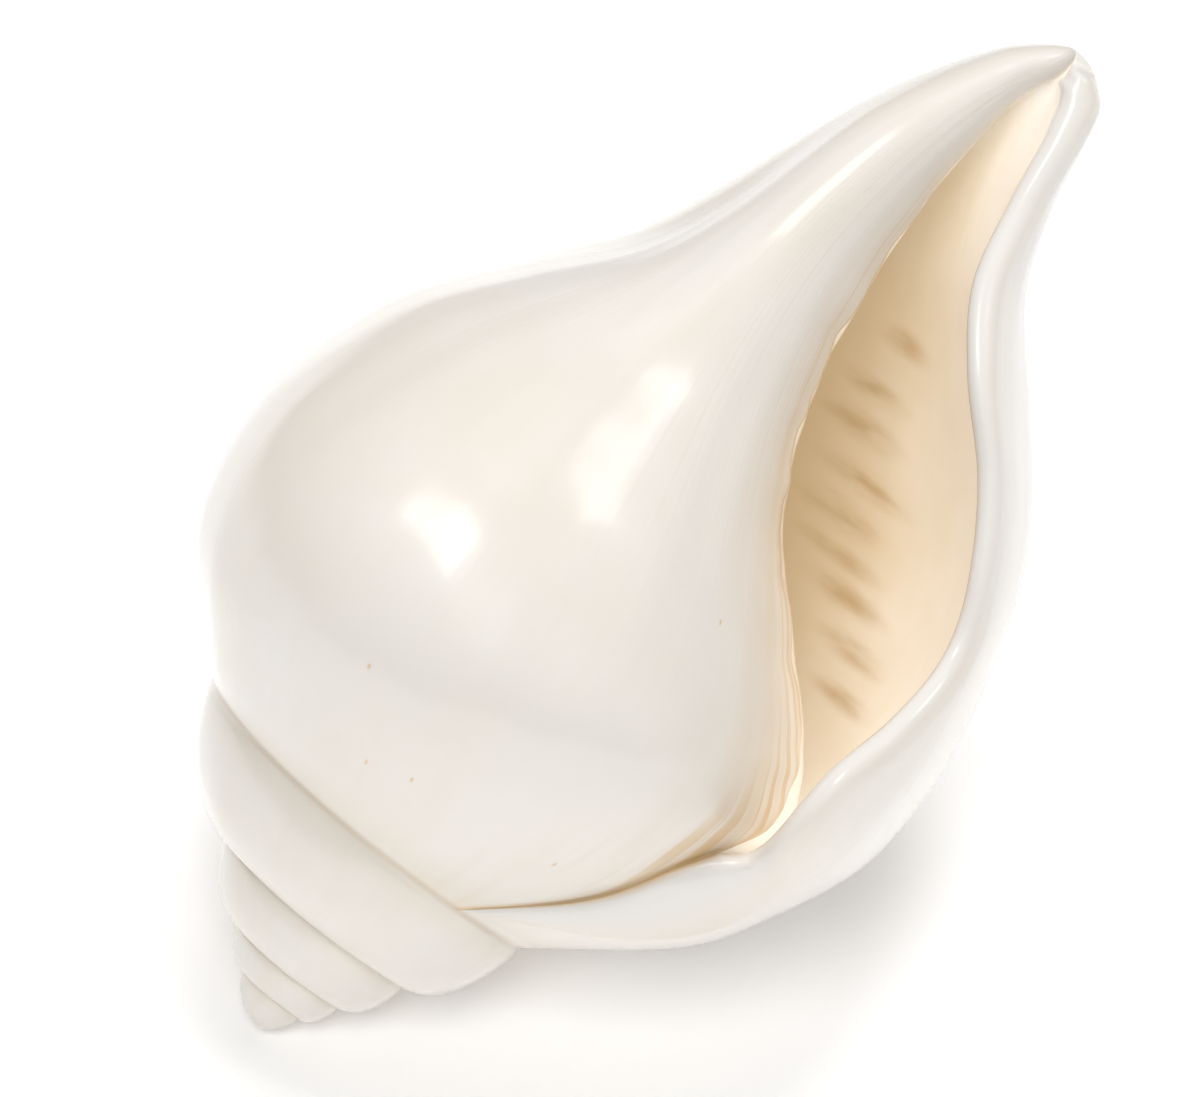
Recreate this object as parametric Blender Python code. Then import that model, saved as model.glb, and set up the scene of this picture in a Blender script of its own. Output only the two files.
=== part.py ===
# Conch shell, modelled the way the real one grows: a profile from the seam with the older turn
# down to the canal tip is carried round a spiral, with its size changing as it goes.
# The coiling frame has the axis along Y, from apex to canal, and the aperture facing +Z.
# Growth angles are in degrees from +X towards +Z, and lengths are in millimetres.
import bmesh
import bpy
import numpy as np

# Spire: the seam is a cone spiral whose radius grows by a fixed share each turn.
SEAM_RADIUS = 21.0
SEAM_GROWTH = 0.001546
SEAM_START = -1420.0
SEAM_FADE_IN = 420.0
SEAM_SLOPE = 1.27
SEAM_DROP = 2.4
APEX_ROUND = 1.7
APEX_ROUND_RADIUS = 2.2
TURN_BULGE = 0.46
TURN_BULGE_SKEW = 0.3

# The last turn's seam leaves the cone here and climbs back onto the line one turn older.
LAST_SEAM_LEAVES = 150.0
LAST_SEAM_SPAN = 210.0
LIP_SEAM_ANGLE = 57.0

# Body: heights along the axis of the profile stations, and their radius at each growth angle.
LEVELS = [36, 45.6, 55.2, 64.8, 74.4, 84, 93.6, 103.2, 112.8, 122.4, 132, 141.6, 147]
TIP_HEIGHT = 150.2
GROWTH_KEYS = [15, 90, 180, 270, 360, 395]
RADII = [
    [33.0, 38.6, 41.2, 36.0, 28.0, 20.4, 16.0, 13.2, 11.4, 9.2, 6.6, 3.1, 1.8],
    [31.4, 38.6, 41.4, 39.6, 34.8, 27.4, 19.8, 14.6, 11.0, 9.0, 7.0, 3.6, 2.2],
    [31.0, 38.2, 40.5, 40.3, 36.8, 31.4, 22.6, 13.4, 8.8, 6.8, 5.8, 3.9, 2.5],
    [34.2, 41.8, 45.4, 46.3, 44.9, 42.0, 37.0, 29.8, 22.8, 17.0, 12.6, 8.6, 5.0],
    [37.7, 45.2, 50.2, 51.7, 51.5, 49.9, 47.2, 41.9, 34.2, 25.4, 19.1, 13.2, 7.3],
    [38.2, 45.8, 50.9, 52.6, 52.6, 50.9, 47.6, 42.0, 34.1, 25.6, 19.4, 13.7, 7.9],
]
# Growth angle, less one turn, at which the lip ends, and at which the inner wall starts.
LIP_ANGLES = [57, 37, 33, 36, 31, 25, 21, 22, 24, 29, 27, 19, 13, 9, 6]
WALL_ANGLES = [57, 28, 16, 12, 12, 12, 14, 16, 18, 18, 18, 15, 12, 9, 6]
AXIS_BEND = 18.1
AXIS_BEND_START = 60.0
AXIS_BEND_POWER = 4

# Hollow: the passage from the aperture back into the last turn.
WALL_THICKNESS = 3.6
LIP_SWELL = 2.6
LIP_FADE_STATIONS = 1.2
HOLLOW_FIRST_STATION = 2.4
HOLLOW_LAST_STATION = 13.2
HOLLOW_DEEP_STATION = 6.0
HOLLOW_DEPTH = 250.0
HOLLOW_WALL_ANGLE = 22.0
HOLLOW_ALIGN_DEPTH = 35.0

# Facets.
TURN_STEPS = 48
SHOULDER_STEPS = 6
MOUTH_STEPS = 23
TIP_STEPS = 2
SPIRE_STEPS = 5
RIM_STEPS = 4
HOLLOW_STEPS = 16
WELD_DISTANCE = 1e-5

# Look: warm porcelain white.
SHELL_COLOUR = (0.86, 0.83, 0.78, 1.0)
SHELL_ROUGHNESS = 0.22

# Rest: the side at this growth angle faces up, and the axis climbs towards the canal.
UP_ANGLE = 122.23
AXIS_CLIMB = 43.07

MM = 0.001
FULL_TURN = 360.0


def ease(x):
    x = np.clip(x, 0, 1)
    return x * x * (3 - 2 * x)


def cone_seam(growth):
    """Radius and height of the seam while it follows the cone"""
    started = ease((growth - SEAM_START) / SEAM_FADE_IN)
    radius = SEAM_RADIUS * np.exp(SEAM_GROWTH * growth) * started
    rounding = APEX_ROUND * np.exp(-radius / APEX_ROUND_RADIUS)
    return radius, SEAM_SLOPE * radius - SEAM_DROP + rounding


def seam(growth):
    """Radius and height of the seam, which ends on the line one turn older"""
    climb = ease((growth - LAST_SEAM_LEAVES) / LAST_SEAM_SPAN)
    radius, height = cone_seam(growth)
    older_radius, older_height = cone_seam(growth - FULL_TURN)
    return radius + (older_radius - radius) * climb, height + (older_height - height) * climb


def curve_through(values, place, end_value):
    """Smooth curve through the values on the last axis, read at a place between them"""
    last = values.shape[-1] - 1
    left = np.clip(np.floor(place).astype(int), 0, last - 1)
    t = place - left

    def value(index):
        return np.take_along_axis(values, np.clip(index, 0, last)[..., None], -1)[..., 0]

    b = value(left)
    c = value(left + 1)
    a = np.where(left > 0, value(left - 1), 2 * b - c)
    d = np.where(left < last - 1, value(left + 2), end_value(values))
    linear = c - a
    square = 2 * a - 5 * b + 4 * c - d
    cube = 3 * b - a - 3 * c + d
    return b + 0.5 * t * (linear + t * (square + t * cube))


def mirrored_end(values):
    """Makes the curve cross the axis square on, as a round tip does"""
    return -values[..., -2]


def open_end(values):
    return 2 * values[..., -1] - values[..., -2]


def angles_at(row, station):
    values = np.broadcast_to(np.asarray(row, float), station.shape + (len(row),))
    return curve_through(values, station, open_end)


def radii_at(growth):
    """Station radii at a growth angle, with a smooth slope from key to key"""
    keys = np.array(GROWTH_KEYS, float)
    rows = np.array(RADII, float)
    slopes = np.gradient(rows, keys, axis=0)
    growth = np.clip(growth, keys[0], keys[-1])
    left = np.clip(np.searchsorted(keys, growth, side="right") - 1, 0, len(keys) - 2)
    span = (keys[left + 1] - keys[left])[..., None]
    t = (growth - keys[left])[..., None] / span
    return (
        (2 * t**3 - 3 * t**2 + 1) * rows[left]
        + (t**3 - 2 * t**2 + t) * span * slopes[left]
        + (3 * t**2 - 2 * t**3) * rows[left + 1]
        + (t**3 - t**2) * span * slopes[left + 1]
    )


def profile(growth, station):
    """Radius and height of the outer surface; station 0 is the seam and the last is the tip"""
    growth, station = np.broadcast_arrays(growth, station)
    seam_radius, seam_height = seam(growth)
    axis = np.zeros(growth.shape + (1,))
    radii = np.concatenate([seam_radius[..., None], radii_at(growth), axis], -1)
    levels = np.broadcast_to(LEVELS, growth.shape + (len(LEVELS),))
    heights = np.concatenate([seam_height[..., None], levels, axis + TIP_HEIGHT], -1)
    radius = curve_through(radii, station, mirrored_end)
    return np.maximum(radius, 0), curve_through(heights, station, open_end)


def placed(growth, radius, height):
    """Points in the coiling frame, with the canal bent sideways"""
    along = np.clip(height - AXIS_BEND_START, 0, None) / (TIP_HEIGHT - AXIS_BEND_START)
    bend = AXIS_BEND * along**AXIS_BEND_POWER
    angle = np.radians(growth)
    return np.stack([radius * np.cos(angle) + bend, height, radius * np.sin(angle)], -1)


def mouth_stations():
    return np.linspace(HOLLOW_FIRST_STATION, HOLLOW_LAST_STATION, MOUTH_STEPS + 1)


def body_stations():
    shoulder = np.linspace(0, HOLLOW_FIRST_STATION, SHOULDER_STEPS + 1)[:-1]
    tip = np.linspace(HOLLOW_LAST_STATION, len(LEVELS) + 1, TIP_STEPS + 1)[1:]
    return np.concatenate([shoulder, mouth_stations(), tip])


def body_grid():
    station = body_stations()
    turn = np.linspace(0, 1, TURN_STEPS + 1)[:, None]
    start = angles_at(WALL_ANGLES, station)
    end = angles_at(LIP_ANGLES, station) + FULL_TURN
    growth = start + (end - start) * turn
    return placed(growth, *profile(growth, station))


def spire_grid():
    """The strip between each seam and the seam one turn younger, from the apex down"""
    step = FULL_TURN / TURN_STEPS
    count = int(np.ceil((LIP_SEAM_ANGLE - SEAM_START + FULL_TURN) / step))
    growth = LIP_SEAM_ANGLE - step * np.arange(count, -1, -1)
    across = np.linspace(0, 1, SPIRE_STEPS + 1)
    radius, height = [values[:, None] for values in seam(growth)]
    next_radius, next_height = [values[:, None] for values in seam(growth + FULL_TURN)]
    out = TURN_BULGE * across * (1 - across) * (1 + TURN_BULGE_SKEW * (1 - 2 * across))
    run = next_radius - radius
    rise = next_height - height
    return placed(growth[:, None], radius + run * across + rise * out, height + rise * across - run * out)


def hollow_grids():
    """Outer and inner walls of the passage, which meet along its two sides and at its end"""
    first = HOLLOW_FIRST_STATION
    last = HOLLOW_LAST_STATION
    mouth = mouth_stations()
    depth = np.linspace(0, 1, HOLLOW_STEPS + 1)[:, None]
    side = (mouth - first) / (last - first)
    narrowed = last + (HOLLOW_DEEP_STATION - last) * depth
    station = first + side * (narrowed - first)
    turned = HOLLOW_DEPTH * depth
    wall = angles_at(WALL_ANGLES, mouth)
    lip = angles_at(LIP_ANGLES, mouth)
    aligned = np.exp(-turned / HOLLOW_ALIGN_DEPTH) * (1 - depth)
    open_share = np.sqrt(np.clip(1 - (2 * side - 1) ** 6, 0, 1))
    inner_growth = HOLLOW_WALL_ANGLE - turned + (wall - HOLLOW_WALL_ANGLE) * aligned
    outer_growth = inner_growth + FULL_TURN + (lip - wall) * aligned * open_share
    radius, height = profile(wall, station)
    radius = radius * np.exp(SEAM_GROWTH * (inner_growth - wall))
    outer_radius, outer_height = profile(outer_growth, station)
    slope = np.gradient(outer_radius, axis=1) / np.gradient(outer_height, axis=1)
    thickness = WALL_THICKNESS * np.sqrt(1 + np.clip(slope, -2, 2) ** 2)
    room = np.clip(outer_radius - thickness - radius, 0, None)
    room = room * open_share * np.sqrt(np.clip(1 - depth**4, 0, 1))
    return placed(outer_growth, radius + room, height), placed(inner_growth, radius, height)


def rim_grid(body, outer_wall):
    """The rounded lip, from the edge of the body to the passage or to the older turn"""
    station = body_stations()
    inner = body[0].copy()
    inner[SHOULDER_STEPS:SHOULDER_STEPS + MOUTH_STEPS + 1] = outer_wall[0]
    angle = np.radians(angles_at(LIP_ANGLES, station))
    forward = np.stack([-np.sin(angle), 0 * angle, np.cos(angle)], -1)
    fade = ease(station / LIP_FADE_STATIONS) * ease((station[-1] - station) / LIP_FADE_STATIONS)
    around = np.linspace(0, np.pi, RIM_STEPS + 1)[:, None, None]
    share = (1 - np.cos(around)) / 2
    swell = LIP_SWELL * np.sin(around) * fade[:, None] * forward
    return body[-1] + (inner - body[-1]) * share + swell


def at_rest(points):
    """Turns the coiling frame to the way the shell lies, with the canal towards +X"""
    up_angle = np.radians(UP_ANGLE)
    climb = np.radians(AXIS_CLIMB)
    along = points[..., 1]
    up = points[..., 0] * np.cos(up_angle) + points[..., 2] * np.sin(up_angle)
    side = points[..., 2] * np.cos(up_angle) - points[..., 0] * np.sin(up_angle)
    forward = along * np.cos(climb) - up * np.sin(climb)
    height = along * np.sin(climb) + up * np.cos(climb)
    return np.stack([forward, side, height], -1)


def add_grid(mesh, points):
    rows, columns = points.shape[:2]
    corners = [mesh.verts.new(point) for point in points.reshape(-1, 3)]
    for row in range(rows - 1):
        for column in range(columns - 1):
            first = row * columns + column
            below = first + columns
            mesh.faces.new([corners[first], corners[first + 1], corners[below + 1], corners[below]])


def clear_scene():
    for thing in list(bpy.data.objects):
        bpy.data.objects.remove(thing, do_unlink=True)


def shell_material():
    material = bpy.data.materials.new("shell")
    material.use_nodes = True
    surface = material.node_tree.nodes["Principled BSDF"]
    surface.inputs["Base Color"].default_value = SHELL_COLOUR
    surface.inputs["Roughness"].default_value = SHELL_ROUGHNESS
    surface.inputs["Metallic"].default_value = 0.0
    return material


def build_shell(collection):
    body = body_grid()
    outer_wall, inner_wall = hollow_grids()
    grids = [spire_grid(), body, rim_grid(body, outer_wall), outer_wall, inner_wall]
    mesh = bmesh.new()
    for points in grids:
        add_grid(mesh, at_rest(points) * MM)
    bmesh.ops.remove_doubles(mesh, verts=mesh.verts, dist=WELD_DISTANCE)
    bmesh.ops.dissolve_degenerate(mesh, edges=mesh.edges, dist=WELD_DISTANCE)
    bmesh.ops.triangulate(mesh, faces=mesh.faces)
    bmesh.ops.recalc_face_normals(mesh, faces=mesh.faces)
    corners = np.array([vertex.co for vertex in mesh.verts])
    low = corners.min(axis=0)
    high = corners.max(axis=0)
    middle = (low + high) / 2
    bmesh.ops.translate(mesh, verts=mesh.verts, vec=(-middle[0], -middle[1], -low[2]))
    data = bpy.data.meshes.new("shell")
    mesh.to_mesh(data)
    mesh.free()
    data.materials.append(shell_material())
    shell = bpy.data.objects.new("shell", data)
    collection.objects.link(shell)


clear_scene()
conch = bpy.data.collections.new("conch_shell")
bpy.context.scene.collection.children.link(conch)
build_shell(conch)
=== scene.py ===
import bmesh
import bpy
import numpy as np
from mathutils import Matrix, Vector


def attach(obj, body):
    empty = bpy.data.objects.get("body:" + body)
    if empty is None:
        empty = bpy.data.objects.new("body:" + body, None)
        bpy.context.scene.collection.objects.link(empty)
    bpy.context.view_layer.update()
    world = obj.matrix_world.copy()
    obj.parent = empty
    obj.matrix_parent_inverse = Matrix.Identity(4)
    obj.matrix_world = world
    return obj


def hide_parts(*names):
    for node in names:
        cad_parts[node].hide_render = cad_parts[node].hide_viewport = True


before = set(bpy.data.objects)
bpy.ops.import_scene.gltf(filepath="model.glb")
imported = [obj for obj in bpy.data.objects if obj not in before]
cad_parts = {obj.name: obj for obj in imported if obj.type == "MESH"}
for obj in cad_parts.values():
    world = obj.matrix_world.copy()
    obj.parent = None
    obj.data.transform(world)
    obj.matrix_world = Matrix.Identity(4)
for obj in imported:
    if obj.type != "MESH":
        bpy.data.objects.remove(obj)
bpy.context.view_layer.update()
print("frame loaded")

# growth angles are in degrees from +X towards +Z of the coiling frame, whose axis runs along Y
# lengths are in millimetres; a station is a place along the profile, from the seam (0) to the canal tip (14)
shell = {
    "seamRadius": 21.0,
    "seamGrowth": 0.001546,
    "seamStart": -1420.0,
    "seamFadeIn": 420.0,
    "seamSlope": 1.27,
    "seamDrop": 2.4,
    "apexPole": 0.12,
    "apexRound": 1.7,
    "apexRoundRadius": 2.2,
    "turnBulge": 0.66,
    "turnBulgeSkew": 0.3,
    "seamGroove": 0.70,  # below 1 cuts the seams between turns sharper
    "seamLeaves": 150.0,
    "seamSpan": 210.0,
    "lipSeamAngle": 57.0,
    "levels": [36, 45.6, 55.2, 64.8, 74.4, 84, 93.6, 103.2, 112.8, 122.4, 132, 141.6, 147],
    "tipHeight": 150.2,
    "growthKeys": [15, 90, 180, 270, 360, 395],
    "radii": [
        [33.0, 38.6, 41.2, 36.0, 28.0, 20.4, 16.0, 13.2, 11.4, 9.2, 6.8, 3.9, 2.9],
        [31.4, 38.6, 41.4, 39.6, 34.8, 27.4, 19.8, 14.6, 11.0, 9.0, 7.1, 4.3, 3.2],
        [31.0, 38.2, 40.5, 40.3, 36.8, 31.4, 22.6, 13.4, 8.8, 6.8, 5.9, 4.4, 3.3],
        [34.2, 41.8, 45.4, 46.3, 44.9, 42.0, 37.0, 29.8, 22.8, 17.0, 12.6, 8.8, 5.6],
        [37.7, 45.2, 50.2, 51.7, 51.5, 49.9, 47.2, 41.9, 34.2, 25.4, 19.1, 13.2, 8.2],
        [38.2, 45.8, 50.9, 52.6, 52.6, 50.9, 47.6, 42.0, 34.1, 25.6, 19.4, 13.8, 8.7],
    ],
    "lipAngles": [57, 29, 23, 34, 35, 28, 21, 22, 24, 29, 27, 19, 13, 9, 6],
    "wallAngles": [57, 42, 36, 24, 13, 12, 14, 16, 18, 18, 18, 15, 12, 9, 6],
    "axisBend": 18.1,
    "axisBendStart": 60.0,
    "axisBendPower": 4,
    "wallThickness": 3.6,
    "thinnestShare": 0.85,  # where the canal is narrow, the share of it that is wall
    "lipSwell": 2.8,
    "lipFadeStations": 1.2,
    "tipFadeStations": 0.3,
    "lipFadeGap": 2.0,
    "hollowFirst": 2.4,
    "hollowLast": 13.5,
    "hollowDeep": 6.0,
    "hollowDepth": 250.0,
    "hollowWallAngle": 22.0,
    "hollowAlign": 35.0,
    "hollowSpread": 1.3,
    "hollowRound": 6,
    "hollowEndRound": 4,
    "steepest": 2.0,
    "waves": [(7.3, 0.9, 0.0, 0.10), (12.7, -0.6, 1.0, 0.08), (23.1, 0.3, 2.0, 0.05), (3.1, 1.7, 0.0, 0.09)],
    "waveEnds": [1.5, 3.0],  # stations over which the waves fade at the seam and at the tip
    "waveFade": [25.0, 12.0],  # degrees over which they fade beside the mouth and behind the lip
    "waveRadius": 34.0,  # radius at which the waves are full
    "spireStations": 2.2,  # stations that the look counts across a spire turn
    "spireWaves": [9.7, 2.0, 0.004],
    "edgeRoll": 0.42,
    "edgeRollSpan": 16.0,
    "edgeRollDepth": 12.0,
    "edgeRollBase": 0.6,
    "edgeRollStations": [2.0, 3.5, 9.5, 12.5],
    "edgeWaves": [(5.1, 0.0, 0.50), (8.7, 1.0, 0.35), (15.3, 2.2, 0.20)],
    "edgeWaveStations": [7.0, 11.0],
    "turnSteps": 240,
    "shoulderSteps": 16,
    "mouthSteps": 110,
    "tipSteps": 10,
    "spireSteps": 24,
    "rimSteps": 14,
    "hollowSteps": 80,
    "weld": 0.000002,
    "upAngle": 122.23,
    "axisClimb": 43.07,
}
fullTurn = 360.0
quarterTurn = 90.0
metresPerMillimetre = 0.001
tipStation = len(shell["levels"]) + 1


# smooth step: 3x2 - 2x3 between nothing and one
def ease(x):
    x = np.clip(x, 0, 1)
    return x * x * (3 - 2 * x)


# seam on the cone: radius grows by a fixed share each turn, height is slope times radius
def coneSeam(growth):
    started = ease((growth - shell["seamStart"]) / shell["seamFadeIn"])
    radius = shell["seamRadius"] * np.exp(shell["seamGrowth"] * growth) * started
    rounding = shell["apexRound"] * np.exp(-radius / shell["apexRoundRadius"])
    return radius, shell["seamSlope"] * radius - shell["seamDrop"] + rounding


# the last turn's seam eases onto the line one turn older
def seam(growth):
    climb = ease((growth - shell["seamLeaves"]) / shell["seamSpan"])
    radius, height = coneSeam(growth)
    olderRadius, olderHeight = coneSeam(growth - fullTurn)
    return radius + (olderRadius - radius) * climb, height + (olderHeight - height) * climb


# cubic curve through the values on the last axis, read at a place between them
def curveThrough(values, place, endValue):
    last = values.shape[-1] - 1
    left = np.clip(np.floor(place).astype(int), 0, last - 1)
    t = place - left

    def value(index):
        return np.take_along_axis(values, np.clip(index, 0, last)[..., None], -1)[..., 0]

    b = value(left)
    c = value(left + 1)
    a = np.where(left > 0, value(left - 1), 2 * b - c)
    d = np.where(left < last - 1, value(left + 2), endValue(values))
    return b + 0.5 * t * (c - a + t * (2 * a - 5 * b + 4 * c - d + t * (3 * b - a - 3 * c + d)))


# the value past the end is minus the one before it, so the curve goes straight through nothing
def mirroredEnd(values):
    return -values[..., -2]


# the value past the end goes on in a straight line
def openEnd(values):
    return 2 * values[..., -1] - values[..., -2]


# the value past the end is the one before it, so the curve is level at its end
def roundEnd(values):
    return values[..., -2]


# an angle of the mouth's edge, read from its row at each station
def anglesAt(row, station):
    rows = np.broadcast_to(np.asarray(row, float), station.shape + (len(row),))
    return curveThrough(rows, station, openEnd)


# station radii at a growth angle, smooth from key to key
def radiiAt(growth):
    keys = np.array(shell["growthKeys"], float)
    rows = np.array(shell["radii"], float)
    slopes = np.gradient(rows, keys, axis=0)
    growth = np.clip(growth, keys[0], keys[-1])
    left = np.clip(np.searchsorted(keys, growth, side="right") - 1, 0, len(keys) - 2)
    span = (keys[left + 1] - keys[left])[..., None]
    t = (growth - keys[left])[..., None] / span
    return (
        (2 * t**3 - 3 * t**2 + 1) * rows[left]
        + (t**3 - 2 * t**2 + t) * span * slopes[left]
        + (3 * t**2 - 2 * t**3) * rows[left + 1]
        + (t**3 - t**2) * span * slopes[left + 1]
    )


# radius and height of the outer surface; station 0 is the seam, the last is the canal tip
def profile(growth, station):
    growth, station = np.broadcast_arrays(growth, station)
    seamR, seamH = seam(growth)
    axis = np.zeros(growth.shape + (1,))
    levels = np.broadcast_to(shell["levels"], growth.shape + (len(shell["levels"]),))
    radii = np.concatenate([seamR[..., None], radiiAt(growth), axis], -1)
    heights = np.concatenate([seamH[..., None], levels, axis + shell["tipHeight"]], -1)
    return np.maximum(curveThrough(radii, station, mirroredEnd), 0), curveThrough(heights, station, roundEnd)


# cylinder coordinates to points, with the canal bent sideways
def placed(growth, radius, height):
    along = np.clip(height - shell["axisBendStart"], 0, None) / (shell["tipHeight"] - shell["axisBendStart"])
    bend = shell["axisBend"] * along ** shell["axisBendPower"]
    angle = np.radians(growth)
    return np.stack([radius * np.cos(angle) + bend, height, radius * np.sin(angle)], -1)


# uneven growth in millimetres: sines of the turn, each shifted a little from station to station
def unevenness(growth, station):
    turn = np.radians(growth)
    waves = 0
    for around, slide, phase, height in shell["waves"]:
        waves = waves + height * np.sin(around * turn + slide * station + phase)
    atSeam, atTip = shell["waveEnds"]
    return waves * ease(station / atSeam) * ease((tipStation - station) / atTip)


# height of the rolled edge beside the mouth: a plain roll and sines along the stations, faded at both ends
def edgeRollAt(station):
    steady, lively = shell["edgeWaves"][:1], shell["edgeWaves"][1:]
    first, last = shell["edgeWaveStations"]
    fine = ease((last - station) / (last - first))

    def wave(rows):
        return sum(height * np.sin(rate * station + phase) for rate, phase, height in rows)

    start, full, fading, gone = shell["edgeRollStations"]
    share = ease((station - start) / (full - start)) * ease((gone - station) / (gone - fading))
    return shell["edgeRoll"] * share * (shell["edgeRollBase"] + wave(steady) + fine * wave(lively))


# stations of the mouth, evenly spaced
def mouthStations():
    return np.linspace(shell["hollowFirst"], shell["hollowLast"], shell["mouthSteps"] + 1)


# stations of the body: the shoulder, the mouth and the tip, end to end
def bodyStations():
    shoulder = np.linspace(0, shell["hollowFirst"], shell["shoulderSteps"] + 1)[:-1]
    tip = np.linspace(shell["hollowLast"], tipStation, shell["tipSteps"] + 1)[1:]
    return np.concatenate([shoulder, mouthStations(), tip])


# each grid carries its points, growth in turns and station as a share of the profile, then
# zone (0 outside, 1 at the lip, 2 deep inside) and edge (0 at the wall beside the mouth)
def gridOf(points, growth, station, zone, edge):
    shape = points.shape[:2]
    values = (growth / fullTurn, station / tipStation, zone, edge)
    extras = [np.broadcast_to(np.asarray(value, float), shape) for value in values]
    return points, np.stack(extras, -1)


# the last turn: profiles from the wall beside the mouth round to the lip
def bodyGrid():
    station = bodyStations()
    turn = np.linspace(0, 1, shell["turnSteps"] + 1)[:, None]
    start = anglesAt(shell["wallAngles"], station)
    end = anglesAt(shell["lipAngles"], station) + fullTurn
    end = np.where(station < shell["hollowLast"], end, start + fullTurn)  # closed past the mouth
    growth = start + (end - start) * turn
    radius, height = profile(growth, station)
    besideMouth, behindLip = shell["waveFade"]
    calm = ease((growth - start) / besideMouth) * ease((end - growth) / behindLip)
    radius = radius + unevenness(growth, station) * calm * ease(radius / shell["waveRadius"])
    radius = radius + edgeRollAt(station) * np.exp(-(((growth - start) / shell["edgeRollSpan"]) ** 2))
    edge = np.clip((growth - start) / quarterTurn, 0, 1)
    return gridOf(placed(growth, radius, height), growth, station, 0.0, edge)


# the strip between each seam and the seam one turn younger, bulging outwards
def spireGrid():
    step = fullTurn / shell["turnSteps"]
    count = int(np.ceil((shell["lipSeamAngle"] - shell["seamStart"] + fullTurn) / step))
    growth = (shell["lipSeamAngle"] - step * np.arange(count, -1, -1))[:, None]
    across = np.linspace(0, 1, shell["spireSteps"] + 1)
    radius, height = seam(growth)
    nextRadius, nextHeight = seam(growth + fullTurn)
    hump = 4 * across * (1 - across)
    skew = 1 + shell["turnBulgeSkew"] * (1 - 2 * across)
    out = shell["turnBulge"] / 4 * hump ** shell["seamGroove"] * skew
    run = nextRadius - radius
    rise = nextHeight - height
    around, slide, share = shell["spireWaves"]
    out = out + share * np.sin(around * np.radians(growth) + slide * across) * hump
    points = placed(growth, radius + run * across + rise * out, height + rise * across - run * out)
    reach = np.hypot(points[..., 0], points[..., 2])
    points[reach < shell["apexPole"]] = points[0, 0]  # closes the apex to one point
    return gridOf(points, growth, shell["spireStations"] * np.minimum(across, 1 - across), 0.0, 1.0)


# outer and inner walls of the passage, which meet along its sides and at its end
def hollowGrids():
    first = shell["hollowFirst"]
    last = shell["hollowLast"]
    mouth = mouthStations()
    depth = np.linspace(0, 1, shell["hollowSteps"] + 1)[:, None] ** shell["hollowSpread"]
    side = (mouth - first) / (last - first)
    station = first + side * (last + (shell["hollowDeep"] - last) * depth - first)
    turned = shell["hollowDepth"] * depth
    wall = anglesAt(shell["wallAngles"], mouth)
    lip = anglesAt(shell["lipAngles"], mouth)
    aligned = np.exp(-turned / shell["hollowAlign"]) * (1 - depth)
    openShare = np.sqrt(np.clip(1 - (2 * side - 1) ** shell["hollowRound"], 0, 1))
    innerGrowth = shell["hollowWallAngle"] - turned + (wall - shell["hollowWallAngle"]) * aligned
    outerGrowth = innerGrowth + fullTurn + (lip - wall) * aligned * openShare
    radius, height = profile(wall, station)
    radius = radius * np.exp(shell["seamGrowth"] * (innerGrowth - wall))
    radius = radius + edgeRollAt(mouth) * np.exp(-turned / shell["edgeRollDepth"])
    outerRadius, outerHeight = profile(outerGrowth, station)
    slope = np.gradient(outerRadius, axis=1) / np.gradient(outerHeight, axis=1)
    slope = np.clip(slope, -shell["steepest"], shell["steepest"])
    thickness = shell["wallThickness"] * np.sqrt(1 + slope**2)
    apart = np.clip(outerRadius - radius, 0, None)
    room = apart - np.minimum(thickness, shell["thinnestShare"] * apart)
    room = room * openShare * np.sqrt(np.clip(1 - depth ** shell["hollowEndRound"], 0, 1))
    outer = gridOf(placed(outerGrowth, radius + room, height), outerGrowth, station, 1 + depth, 1.0)
    inner = gridOf(placed(innerGrowth, radius, height), innerGrowth, station, 1 + depth, 0.0)
    return outer, tuple(values[::-1] for values in inner)  # turned round to face the hollow


# half circle from the body's edge round to the passage, or down to the older turn
def rimGrid(body, outerWall):
    station = bodyStations()
    inner = body[0][0].copy()
    steps = shell["shoulderSteps"]
    inner[steps : steps + shell["mouthSteps"] + 1] = outerWall[0][0]
    angle = np.radians(anglesAt(shell["lipAngles"], station))
    forward = np.stack([-np.sin(angle), 0 * angle, np.cos(angle)], -1)
    fade = ease(station / shell["lipFadeStations"])
    fade = fade * ease((shell["hollowLast"] - station) / shell["tipFadeStations"])
    fade = fade * ease(np.linalg.norm(inner - body[0][-1], axis=-1) / shell["lipFadeGap"])
    around = np.linspace(0, np.pi, shell["rimSteps"] + 1)[:, None, None]
    share = (1 - np.cos(around)) / 2
    points = body[0][-1] + (inner - body[0][-1]) * share
    points = points + shell["lipSwell"] * np.sin(around) * fade[:, None] * forward
    return gridOf(points, np.degrees(angle) + fullTurn, station, share[..., 0], 1.0)


# turns the coiling frame to the way the shell lies
def atRest(points):
    upAngle = np.radians(shell["upAngle"])
    climb = np.radians(shell["axisClimb"])
    up = points[..., 0] * np.cos(upAngle) + points[..., 2] * np.sin(upAngle)
    side = points[..., 2] * np.cos(upAngle) - points[..., 0] * np.sin(upAngle)
    along = points[..., 1]
    return np.stack(
        [along * np.cos(climb) - up * np.sin(climb), side, along * np.sin(climb) + up * np.cos(climb)], -1
    )


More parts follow.
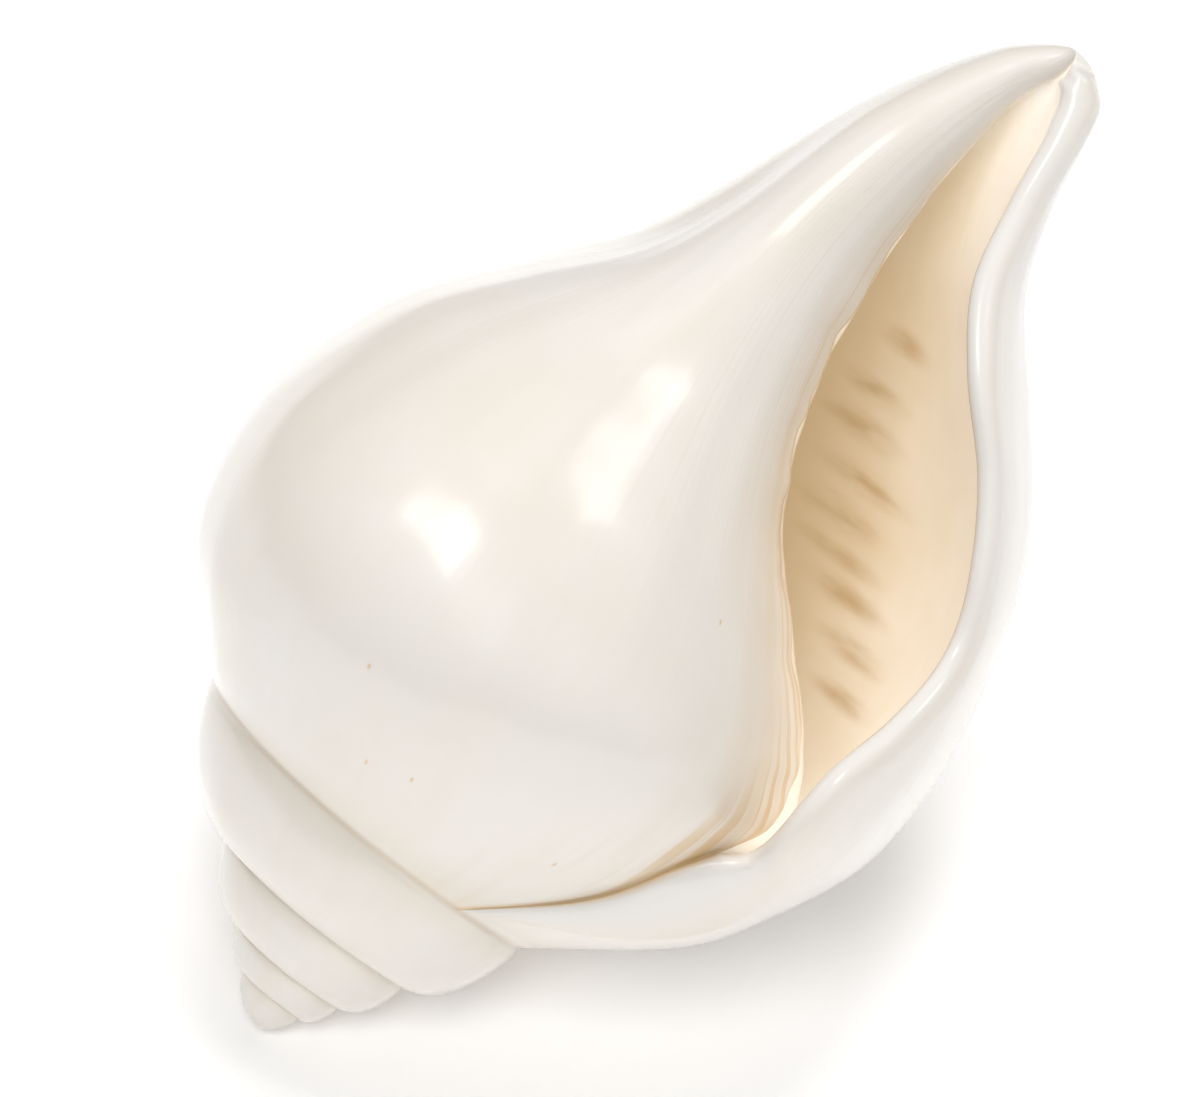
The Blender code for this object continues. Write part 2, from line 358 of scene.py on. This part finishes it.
# joins grids into one welded mesh; each grid's extras become corner layers
def meshOf(name, grids):
    points = []
    extras = []
    quads = []
    start = 0
    for gridPoints, gridExtras in grids:
        rows, columns = gridPoints.shape[:2]
        index = np.arange(rows * columns).reshape(rows, columns) + start
        corners = [index[:-1, :-1], index[:-1, 1:], index[1:, 1:], index[1:, :-1]]
        quads.append(np.stack(corners, -1).reshape(-1, 4))
        points.append(gridPoints.reshape(-1, 3))
        extras.append(gridExtras.reshape(-1, 4))
        start += rows * columns
    points = np.concatenate(points) * metresPerMillimetre
    extras = np.concatenate(extras)
    corners = np.concatenate(quads).reshape(-1)
    mesh = bpy.data.meshes.new(name)
    mesh.vertices.add(len(points))
    mesh.vertices.foreach_set("co", points.reshape(-1))
    mesh.loops.add(len(corners))
    mesh.loops.foreach_set("vertex_index", corners)
    mesh.polygons.add(len(corners) // 4)
    mesh.polygons.foreach_set("loop_start", np.arange(0, len(corners), 4))
    mesh.update(calc_edges=True)
    for layer, columns in (("growth", [0, 1]), ("place", [2, 3])):
        uv = mesh.uv_layers.new(name=layer)
        uv.data.foreach_set("uv", extras[corners][:, columns].reshape(-1))
    work = bmesh.new()
    work.from_mesh(mesh)
    bmesh.ops.remove_doubles(work, verts=work.verts, dist=shell["weld"])
    work.to_mesh(mesh)
    work.free()
    mesh.polygons.foreach_set("use_smooth", np.ones(len(mesh.polygons), bool))
    return mesh


# all the grids at rest, with the box's bottom centre at the origin
def buildShell():
    body = bodyGrid()
    outerWall, innerWall = hollowGrids()
    grids = [spireGrid(), body, rimGrid(body, outerWall), outerWall, innerWall]
    rest = [(atRest(points), extras) for points, extras in grids]
    allPoints = np.concatenate([points.reshape(-1, 3) for points, _ in rest])
    low, high = allPoints.min(axis=0), allPoints.max(axis=0)
    shift = np.array([(low[0] + high[0]) / 2, (low[1] + high[1]) / 2, low[2]])
    return [(points - shift, extras) for points, extras in rest]


shellMesh = meshOf("conchShell", buildShell())
conch = bpy.data.objects.new("conchShell", shellMesh)
bpy.context.scene.collection.objects.link(conch)
print("shell quads", len(shellMesh.polygons))

# look of the shell, with linear colours
# a stain is its growth angle, its station, its length in degrees and its width in stations
# a streak is how fine it is across a turn and along the profile, its seed and its detail
# a range is the values it runs between, then what it gives at each of them
look = {
    "white": (0.84, 0.80, 0.75, 1),
    "cream": (0.80, 0.73, 0.62, 1),
    "creamAmount": 0.55,
    "lineAmount": 0.06,
    "ochre": (0.66, 0.45, 0.20, 1),
    "ochreAmount": 0.80,
    "creaseAmount": 0.80,
    "seamTint": (0.62, 0.50, 0.37, 1),
    "seamAmount": 0.55,
    # painted shade: a cream tint on both sides of each seam
    "seamShadeAmount": 0.65,
    "lip": (0.82, 0.79, 0.75, 1),
    "peach": (0.95, 0.90, 0.83, 1),
    # painted shade: the darker tan deeper inside the mouth
    "shadeTan": (0.70, 0.58, 0.39, 1),
    "stain": (0.46, 0.29, 0.10, 1),
    "stainAmount": 0.7,
    "stains": [
        (314.2, 8.62, 10, 0.26),
        (309.0, 7.90, 12, 0.22),
        (308.0, 7.40, 14, 0.26),
        (311.8, 6.81, 16, 0.24),
        (308.6, 6.30, 13, 0.30),
        (312.0, 5.85, 14, 0.18),
        (316.5, 5.44, 14, 0.24),
        (322.7, 4.92, 13, 0.24),
        (326.1, 4.36, 12, 0.22),
    ],
    "stainSlant": 0.02,
    "speck": (0.72, 0.52, 0.28, 1),
    "specks": [(107.0, 2.18), (100.5, 1.13), (90.6, 1.28), (53.2, 4.81), (56.6, 1.28)],
    "speckSize": (0.532, 0.057),  # degrees, stations
    "warmAmount": 0.45,
    "deepShadeMottle": 0.16,
    "cloudNoise": (28.0, 4.0, 0.6),  # scale, detail, roughness
    "streaks": {
        "bands": (9.0, 2.0, 3.0, 3.0),
        "lines": (260.0, 0.7, 7.0, 2.0),
        "warm": (26.0, 2.2, 11.0, 3.0),
        "threads": (130.0, 2.5, 17.0, 2.0),
        "deepShade": (14.0, 6.0, 23.0, 3.0),
        "broken": (30.0, 60.0, 29.0, 2.0),
        "ridges": (60.0, 2.0, 31.0, 1.0),
        "fineRidges": (260.0, 3.0, 37.0, 0.0),
        "polish": (40.0, 6.0, 41.0, 1.0),
    },
    "ranges": {
        "clouds": (0.85, 1.30, 0.0, 1.0),
        "lines": (0.35, 0.80, 0.0, 1.0),
        "seam": (0.0, 0.006, 1.0, 0.0),
        "seamShade": (0.0, 0.045, 1.0, 0.0),
        "besideMouth": (0.06, 0.36, 1.0, 0.0),
        "outside": (0.02, 0.30, 1.0, 0.0),
        "warm": (0.40, 0.70, 0.12, 1.0),
        "threads": (0.52, 0.62, 0.0, 1.0),
        "threadEdge": (0.05, 0.24, 1.0, 0.0),
        "threadStart": (0.06, 0.18, 0.0, 1.0),
        "lip": (0.05, 0.50, 0.0, 1.0),
        "mouth": (0.165, 0.180, 0.0, 1.0),
        "inside": (0.85, 1.06, 0.0, 1.0),
        "deepShade": (1.17, 1.44, 0.0, 1.0),
        "crease": (0.80, 0.99, 0.0, 1.0),
        "creaseEdge": (0.0, 0.035, 1.0, 0.0),
        "creaseEnd": (0.20, 0.26, 1.0, 0.0),
        "broken": (0.30, 0.70, 0.25, 1.0),
        "polish": (0.30, 0.70, 0.28, 0.33),  # the roughness itself
    },
    "coat": 0.85,
    "coatRoughness": 0.15,
    "bump": 0.00013,
    "bumpStrength": 0.6,
    "ridgeShare": 0.6,
    "fineRidgeShare": 0.7,
    "dimpleShare": 0.5,
    "dimpleScale": 90.0,
    # painted light: how strongly the inside glows
    "paintedGlow": 0.20,
}


# short ways to add and join a node tree's nodes
class Graph:
    def __init__(self, tree):
        self.tree = tree

    def add(self, kind, inputs=None, **settings):
        node = self.tree.nodes.new(kind)
        for key, value in settings.items():
            setattr(node, key, value)
        for key, value in (inputs or {}).items():
            self.feed(value, node.inputs[key])
        return node

    def feed(self, value, socket):
        if isinstance(value, bpy.types.NodeSocket):
            self.tree.links.new(value, socket)
        else:
            socket.default_value = value

    def math(self, operation, a, b):
        return self.add("ShaderNodeMath", {0: a, 1: b}, operation=operation).outputs[0]

    def ramp(self, value, low, high, lowTo=0.0, highTo=1.0):
        values = {"Value": value, "From Min": low, "From Max": high, "To Min": lowTo, "To Max": highTo}
        return self.add("ShaderNodeMapRange", values, interpolation_type="SMOOTHSTEP").outputs["Result"]

    def blend(self, share, a, b):
        node = self.add("ShaderNodeMix", data_type="RGBA")
        self.feed(share, node.inputs["Factor"])
        self.feed(a, node.inputs[6])
        self.feed(b, node.inputs[7])
        return node.outputs[2]


# an empty node group with named inputs and outputs
def newGroup(name, inputs, outputs):
    group = bpy.data.node_groups.new(name, "ShaderNodeTree")
    for label, kind, value in inputs:
        socket = group.interface.new_socket(label, in_out="INPUT", socket_type=kind)
        if value is not None:
            socket.default_value = value
    for label, kind in outputs:
        group.interface.new_socket(label, in_out="OUTPUT", socket_type=kind)
    graph = Graph(group)
    return group, graph, graph.add("NodeGroupInput").outputs, graph.add("NodeGroupOutput").inputs


# noise drawn out along the growth lines: fine across them, long along them
def streakGroup():
    inputs = [("Growth", "NodeSocketVector", None), ("Across", "NodeSocketFloat", 40.0)]
    inputs += [("Along", "NodeSocketFloat", 3.0), ("Seed", "NodeSocketFloat", 0.0)]
    inputs += [("Detail", "NodeSocketFloat", 3.0)]
    group, graph, given, result = newGroup("streaks", inputs, [("Value", "NodeSocketFloat")])
    split = graph.add("ShaderNodeSeparateXYZ", {0: given["Growth"]}).outputs
    across = graph.math("MULTIPLY", split[0], given["Across"])
    along = graph.math("MULTIPLY", split[1], given["Along"])
    place = graph.add("ShaderNodeCombineXYZ", {0: across, 1: along, 2: given["Seed"]}).outputs[0]
    noise = graph.add("ShaderNodeTexNoise", {"Vector": place, "Scale": 1.0, "Detail": given["Detail"]})
    graph.feed(noise.outputs[0], result["Value"])
    return group


# soft oval mark: one at its centre, nothing at its rim
def markGroup():
    inputs = [("Growth", "NodeSocketVector", None), ("Centre", "NodeSocketVector", None)]
    inputs += [("Size", "NodeSocketVector", (1, 1, 1)), ("Slant", "NodeSocketFloat", 0.0)]
    group, graph, given, result = newGroup("mark", inputs, [("Mask", "NodeSocketFloat")])
    ends = {0: given["Growth"], 1: given["Centre"]}
    offset = graph.add("ShaderNodeVectorMath", ends, operation="SUBTRACT").outputs[0]
    split = graph.add("ShaderNodeSeparateXYZ", {0: offset}).outputs
    leaning = graph.math("ADD", split[1], graph.math("MULTIPLY", split[0], given["Slant"]))
    leant = graph.add("ShaderNodeCombineXYZ", {0: split[0], 1: leaning, 2: 0.0}).outputs[0]
    shares = {0: leant, 1: given["Size"]}
    scaled = graph.add("ShaderNodeVectorMath", shares, operation="DIVIDE").outputs[0]
    far = graph.add("ShaderNodeVectorMath", {0: scaled}, operation="LENGTH").outputs["Value"]
    graph.feed(graph.ramp(far, 0.0, 1.0, 1.0, 0.0), result["Mask"])
    return group


# a group placed in a tree with its own values
def useGroup(graph, group, inputs):
    node = graph.add("ShaderNodeGroup", node_tree=group)
    for key, value in inputs.items():
        graph.feed(value, node.inputs[key])
    return node.outputs[0]


streaks = streakGroup()
mark = markGroup()


# white outside with a painted shade beside the seams, ochre beside the mouth, a white lip and a peach inside
# with brown marks, a painted shade deeper in and a painted glow, under a clear polish
def shellMaterial():
    material = bpy.data.materials.new("polishedShell")
    material.use_nodes = True
    graph = Graph(material.node_tree)
    surface = material.node_tree.nodes["Principled BSDF"]
    growth = graph.add("ShaderNodeUVMap", uv_map="growth").outputs[0]
    layer = graph.add("ShaderNodeUVMap", uv_map="place").outputs[0]
    place = graph.add("ShaderNodeSeparateXYZ", {0: layer}).outputs
    zone, edge = place[0], place[1]
    station = graph.add("ShaderNodeSeparateXYZ", {0: growth}).outputs[1]
    spot = graph.add("ShaderNodeTexCoord").outputs["Object"]

    def streak(name):
        across, along, seed, detail = look["streaks"][name]
        values = {"Growth": growth, "Across": across, "Along": along, "Seed": seed, "Detail": detail}
        return useGroup(graph, streaks, values)

    def ranged(value, name):
        return graph.ramp(value, *look["ranges"][name])

    def both(a, b):
        return graph.math("MULTIPLY", a, b)

    def anyOf(rows, slant):
        found = 0.0
        for angle, where, length, width in rows:
            values = {
                "Growth": growth,
                "Centre": (angle / fullTurn, where / tipStation, 0),
                "Size": (length / fullTurn, width / tipStation, 1),
                "Slant": slant,
            }
            found = graph.math("MAXIMUM", useGroup(graph, mark, values), found)
        return found

    # outside: white with cream clouds, faint growth lines, a painted shade beside the seams, a darker seam
    scale, detail, roughness = look["cloudNoise"]
    cloudValues = {"Vector": spot, "Scale": scale, "Detail": detail, "Roughness": roughness}
    clouds = graph.add("ShaderNodeTexNoise", cloudValues).outputs[0]
    cream = both(ranged(graph.math("ADD", clouds, streak("bands")), "clouds"), look["creamAmount"])
    colour = graph.blend(cream, look["white"], look["cream"])
    lines = both(ranged(streak("lines"), "lines"), look["lineAmount"])
    colour = graph.blend(lines, colour, look["cream"])
    # painted shade: a cream tint on both sides of each seam stands in for the shading of the rounded turns
    colour = graph.blend(both(ranged(station, "seamShade"), look["seamShadeAmount"]), colour, look["cream"])
    colour = graph.blend(both(ranged(station, "seam"), look["seamAmount"]), colour, look["seamTint"])
    # ochre growth lines beside the mouth
    outside = ranged(zone, "outside")
    warm = both(both(ranged(edge, "besideMouth"), outside), ranged(streak("warm"), "warm"))
    colour = graph.blend(both(warm, look["warmAmount"]), colour, look["ochre"])
    threads = both(ranged(streak("threads"), "threads"), ranged(edge, "threadEdge"))
    threads = both(both(threads, ranged(station, "threadStart")), outside)
    colour = graph.blend(both(threads, look["ochreAmount"]), colour, look["ochre"])
    # lip, then the inside: peach, turning to a tan painted shade further in
    colour = graph.blend(ranged(zone, "lip"), colour, look["lip"])
    mouth = ranged(station, "mouth")
    inside = both(ranged(zone, "inside"), mouth)
    # painted shade: the inside turns a darker tan further in, with a mottled edge
    deepShade = ranged(graph.math("ADD", zone, both(streak("deepShade"), look["deepShadeMottle"])), "deepShade")
    colour = graph.blend(inside, colour, graph.blend(deepShade, look["peach"], look["shadeTan"]))
    # ochre crease where the lip joins the older turn
    crease = both(ranged(zone, "crease"), graph.math("SUBTRACT", 1.0, mouth))
    startEdge = both(both(ranged(edge, "creaseEdge"), ranged(station, "creaseEnd")), outside)
    crease = graph.math("MAXIMUM", crease, startEdge)
    colour = graph.blend(both(crease, look["creaseAmount"]), colour, look["ochre"])
    # broken brown marks inside, a few specks outside
    stains = both(anyOf(look["stains"], look["stainSlant"]), ranged(streak("broken"), "broken"))
    colour = graph.blend(both(stains, both(inside, look["stainAmount"])), colour, look["stain"])
    length, width = look["speckSize"]
    specks = anyOf([(angle, where, length, width) for angle, where in look["specks"]], 0.0)
    colour = graph.blend(both(specks, outside), colour, look["speck"])
    # relief: growth lines and a fine unevenness of the polish
    ridges = graph.math("ADD", streak("ridges"), both(streak("fineRidges"), look["fineRidgeShare"]))
    dimpleValues = {"Vector": spot, "Scale": look["dimpleScale"], "Detail": 0.0}
    dimples = graph.add("ShaderNodeTexNoise", dimpleValues).outputs[0]
    relief = graph.math("ADD", both(ridges, look["ridgeShare"]), both(dimples, look["dimpleShare"]))
    bumpValues = {"Height": relief, "Distance": look["bump"], "Strength": look["bumpStrength"]}
    bump = graph.add("ShaderNodeBump", bumpValues)
    graph.feed(colour, surface.inputs["Base Color"])
    graph.feed(bump.outputs[0], surface.inputs["Normal"])
    graph.feed(ranged(streak("polish"), "polish"), surface.inputs["Roughness"])
    # painted light: emission makes the inside glow, brighter than the lamps light it
    graph.feed(colour, surface.inputs["Emission Color"])
    graph.feed(both(inside, look["paintedGlow"]), surface.inputs["Emission Strength"])
    material.cycles.emission_sampling = "NONE"
    surface.inputs["Coat Weight"].default_value = look["coat"]
    surface.inputs["Coat Roughness"].default_value = look["coatRoughness"]
    return material


shellMesh.materials.append(shellMaterial())
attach(conch, "root")
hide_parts("shell")

# setting: white floor, a pale surround, two boxes seen as highlights and two broad soft lights
setting = {
    "floorColour": (0.96, 0.955, 0.95, 1),
    "floorGlow": 0.21,
    "floorSize": 6.0,
    "floorRoughness": 0.6,
    "floorSheen": 0.2,
    "surround": (1.0, 0.995, 0.985, 1),
    "surroundStrength": 0.24,
    "lights": [
        # name, direction from the shell, distance, size, watts, what it lights
        ("topBox", (-0.31, 0.08, 0.95), 1.2, 0.40, 2.3, "gloss"),
        ("sideBox", (0.53, -0.30, 0.80), 1.2, 0.30, 1.1, "gloss"),
        ("front", (-0.48, -0.33, 0.81), 1.7, 0.80, 14.0, "body"),
        ("above", (0.30, 0.12, 0.95), 1.6, 0.75, 15.5, "body"),
    ],
    "aim": (-0.01, -0.005, 0.05),
    "exposure": 0.0,
}

floorMesh = bpy.data.meshes.new("floor")
half = setting["floorSize"] / 2
corners = [(-half, -half, 0), (half, -half, 0), (half, half, 0), (-half, half, 0)]
floorMesh.from_pydata(corners, [], [(0, 1, 2, 3)])
floor = bpy.data.objects.new("floor", floorMesh)
bpy.context.scene.collection.objects.link(floor)
floorLook = bpy.data.materials.new("floor")
floorLook.use_nodes = True
floorSurface = floorLook.node_tree.nodes["Principled BSDF"]
floorSurface.inputs["Base Color"].default_value = setting["floorColour"]
floorSurface.inputs["Roughness"].default_value = setting["floorRoughness"]
floorSurface.inputs["Specular IOR Level"].default_value = setting["floorSheen"]
floorSurface.inputs["Emission Color"].default_value = setting["floorColour"]
floorSurface.inputs["Emission Strength"].default_value = setting["floorGlow"]
floorLook.cycles.emission_sampling = "NONE"
floorMesh.materials.append(floorLook)

world = bpy.data.worlds.new("surround")
world.use_nodes = True
background = world.node_tree.nodes["Background"]
background.inputs["Color"].default_value = setting["surround"]
background.inputs["Strength"].default_value = setting["surroundStrength"]
bpy.context.scene.world = world

for name, direction, distance, size, watts, kind in setting["lights"]:
    lamp = bpy.data.lights.new(name, "AREA")
    lamp.shape = "SQUARE"
    lamp.size = size
    lamp.energy = watts
    box = bpy.data.objects.new(name, lamp)
    towards = Vector(direction).normalized()
    box.location = Vector(setting["aim"]) + towards * distance
    box.rotation_euler = towards.to_track_quat("Z", "Y").to_euler()
    box.visible_glossy = kind == "gloss"
    box.visible_diffuse = kind == "body"
    bpy.context.scene.collection.objects.link(box)

# camera: from the apex side, looking down on the mouth
view = {
    "location": (-0.46325, -0.47244, 0.65165),
    "right": (0.72922, -0.68413, 0.01443),
    "up": (0.45420, 0.49970, 0.73756),
    "distance": 0.9,
    "frameWidth": 0.144,  # width seen at that distance
    "sensorWidth": 36.0,
    "reach": (0.05, 20.0),
}
camera = bpy.data.cameras.new("camera")
camera.sensor_width = view["sensorWidth"]
camera.lens = camera.sensor_width * view["distance"] / view["frameWidth"]
camera.clip_start, camera.clip_end = view["reach"]
cameraObject = bpy.data.objects.new("camera", camera)
rightAxis = Vector(view["right"]).normalized()
backAxis = rightAxis.cross(Vector(view["up"])).normalized()
upAxis = backAxis.cross(rightAxis)
placing = Matrix((rightAxis, upAxis, backAxis)).transposed().to_4x4()
placing.translation = Vector(view["location"])
cameraObject.matrix_world = placing
bpy.context.scene.collection.objects.link(cameraObject)
bpy.context.scene.camera = cameraObject
bpy.context.scene.view_settings.view_transform = "Standard"
bpy.context.scene.view_settings.exposure = setting["exposure"]
print("camera and lights placed")
